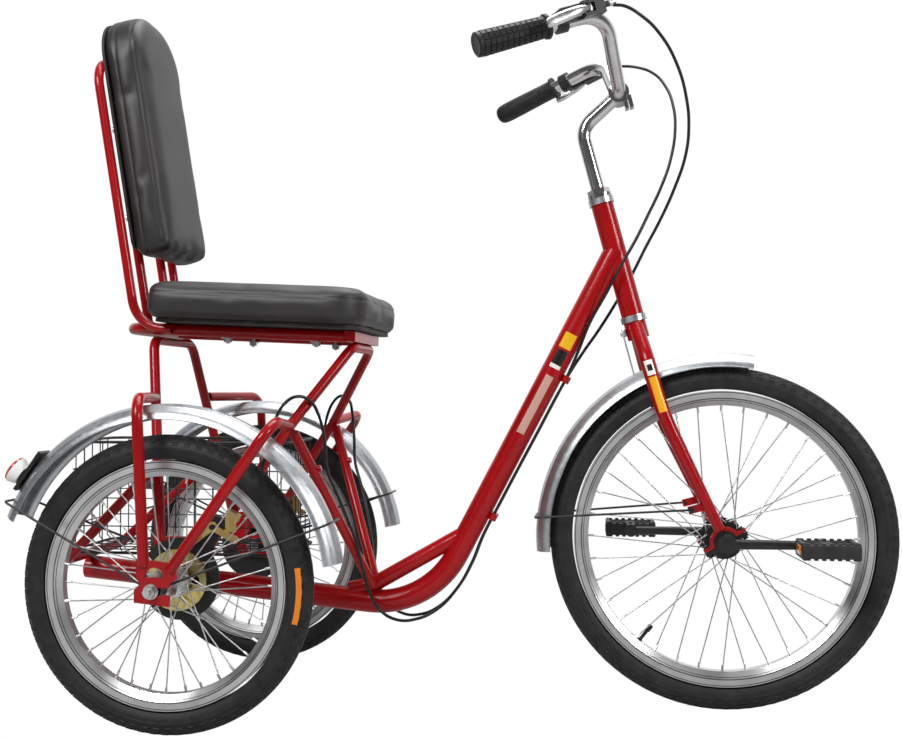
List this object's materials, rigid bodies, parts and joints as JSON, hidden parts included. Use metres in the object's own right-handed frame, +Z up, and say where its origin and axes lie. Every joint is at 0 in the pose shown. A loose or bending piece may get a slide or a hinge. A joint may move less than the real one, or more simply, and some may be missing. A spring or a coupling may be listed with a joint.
{
  "type": "adult tricycle",
  "caption": "Adult tricycle with one driven front wheel, two braked rear wheels, a padded seat with backrest, and a wire basket.",
  "frame": {"origin": "on the ground, in the middle of the bounding box seen from above", "axes": "+X forward, +Y to the rider's left, +Z up"},
  "size_m": [1.3455, 0.644, 1.1421],
  "materials": {
    "red_paint": "gloss",
    "zinc_steel": "satin",
    "chrome": "polished",
    "black_paint": "satin",
    "gold_zinc": "satin",
    "rubber_tyre": "matte",
    "black_rubber": "matte",
    "leatherette": "satin",
    "board": "matte",
    "white_plastic": "gloss",
    "red_lens": "gloss",
    "black_plastic": "matte",
    "silver_alloy": "satin"
  },
  "bodies": {
    "frame": {"main_tube": "red_paint", "head_tube": "red_paint", "brace_tube": "red_paint", "seat_struts": "red_paint", "front_seat_hoop": "red_paint", "rear_seat_hoop": "red_paint", "outer_stays": "red_paint", "outer_dropouts": "red_paint", "inner_dropouts": "red_paint", "carrier_tubes": "red_paint", "seat_rail": "red_paint", "seat_crossbars": "red_paint", "backrest_hoop": "red_paint", "backrest_inner_hoop": "red_paint", "seat_board": "board", "seat_cushion": "leatherette", "backrest_board": "board", "backrest_cushion": "leatherette", "seat_bolts": "zinc_steel", "headset_cups": "chrome", "cable_guides": "red_paint", "cable_right": "black_plastic", "cable_left": "black_plastic", "rear_fender_right": "zinc_steel", "rear_fender_left": "zinc_steel", "rear_fender_stays": "black_paint", "lamp_bracket": "black_paint", "lamp_housing": "white_plastic", "lamp_lens": "red_lens", "basket": "black_paint", "rear_axles": "zinc_steel", "axle_nuts": "zinc_steel", "brake_plates": "black_paint"},
    "brake_arm_right_body": {"brake_arm_right": "gold_zinc"},
    "brake_arm_left_body": {"brake_arm_left": "gold_zinc"},
    "rear_wheel_right": {"rear_tyre_right": "rubber_tyre", "rear_rim_right": "chrome", "rear_spokes_right": "zinc_steel", "rear_hub_right": "zinc_steel"},
    "rear_wheel_left": {"rear_tyre_left": "rubber_tyre", "rear_rim_left": "chrome", "rear_spokes_left": "zinc_steel", "rear_hub_left": "zinc_steel"},
    "steering": {"fork": "red_paint", "hub_clamps": "black_paint", "headset_nut": "chrome", "stem": "chrome", "handlebar": "chrome", "grips": "black_rubber", "lever_brackets": "black_paint", "front_fender": "zinc_steel"},
    "front_wheel": {"front_tyre": "rubber_tyre", "front_rim": "chrome", "front_spokes": "zinc_steel", "front_hub": "black_paint", "crank_arms": "black_paint"},
    "pedal_right_body": {"pedal_right": "black_plastic"},
    "pedal_left_body": {"pedal_left": "black_plastic"},
    "lever_right_body": {"brake_lever_right": "silver_alloy"},
    "lever_left_body": {"brake_lever_left": "silver_alloy"}
  },
  "joints": [
    {"name": "steering_turn", "type": "hinge", "parent": "frame", "child": "steering", "pos_m": [0.23662, 0, 0.71462], "axis": [-0.2588, 0, 0.9659], "range_deg": [-50, 50], "deforming": ["cable_right", "cable_left"]},
    {"name": "front_wheel_spin", "type": "hinge", "parent": "steering", "child": "front_wheel", "pos_m": [0.39883, 0, 0.2715], "axis": [0, 1, 0], "continuous": true},
    {"name": "pedal_right_spin", "type": "hinge", "parent": "front_wheel", "child": "pedal_right_body", "pos_m": [0.53883, -0.12, 0.2715], "axis": [0, 1, 0], "continuous": true},
    {"name": "pedal_left_spin", "type": "hinge", "parent": "front_wheel", "child": "pedal_left_body", "pos_m": [0.25883, 0.12, 0.2715], "axis": [0, 1, 0], "continuous": true},
    {"name": "rear_wheel_right_spin", "type": "hinge", "parent": "frame", "child": "rear_wheel_right", "pos_m": [-0.42417, -0.24, 0.2205], "axis": [0, 1, 0], "continuous": true},
    {"name": "rear_wheel_left_spin", "type": "hinge", "parent": "frame", "child": "rear_wheel_left", "pos_m": [-0.42417, 0.24, 0.2205], "axis": [0, 1, 0], "continuous": true},
    {"name": "brake_lever_right_squeeze", "type": "hinge", "parent": "steering", "child": "lever_right_body", "pos_m": [0.19341, -0.17719, 1.06808], "axis": [0.2936, 0.1252, -0.9477], "range_deg": [0, 14], "stiffness_Nm_per_rad": 0.6, "springref_deg": -5.73},
    {"name": "brake_lever_left_squeeze", "type": "hinge", "parent": "steering", "child": "lever_left_body", "pos_m": [0.19341, 0.17719, 1.06808], "axis": [-0.2936, 0.1252, 0.9477], "range_deg": [0, 14], "stiffness_Nm_per_rad": 0.6, "springref_deg": -5.73},
    {"name": "brake_arm_right_pull", "type": "hinge", "parent": "frame", "child": "brake_arm_right_body", "pos_m": [-0.37117, -0.196, 0.3], "axis": [0, -1, 0], "range_deg": [0, 5]},
    {"name": "brake_arm_left_pull", "type": "hinge", "parent": "frame", "child": "brake_arm_left_body", "pos_m": [-0.37117, 0.196, 0.3], "axis": [0, -1, 0], "range_deg": [0, 5]}
  ],
  "couplings": [
    {"joint": "brake_arm_right_pull", "follows": "brake_lever_right_squeeze", "ratio": 0.35},
    {"joint": "brake_arm_left_pull", "follows": "brake_lever_left_squeeze", "ratio": 0.35}
  ]
}
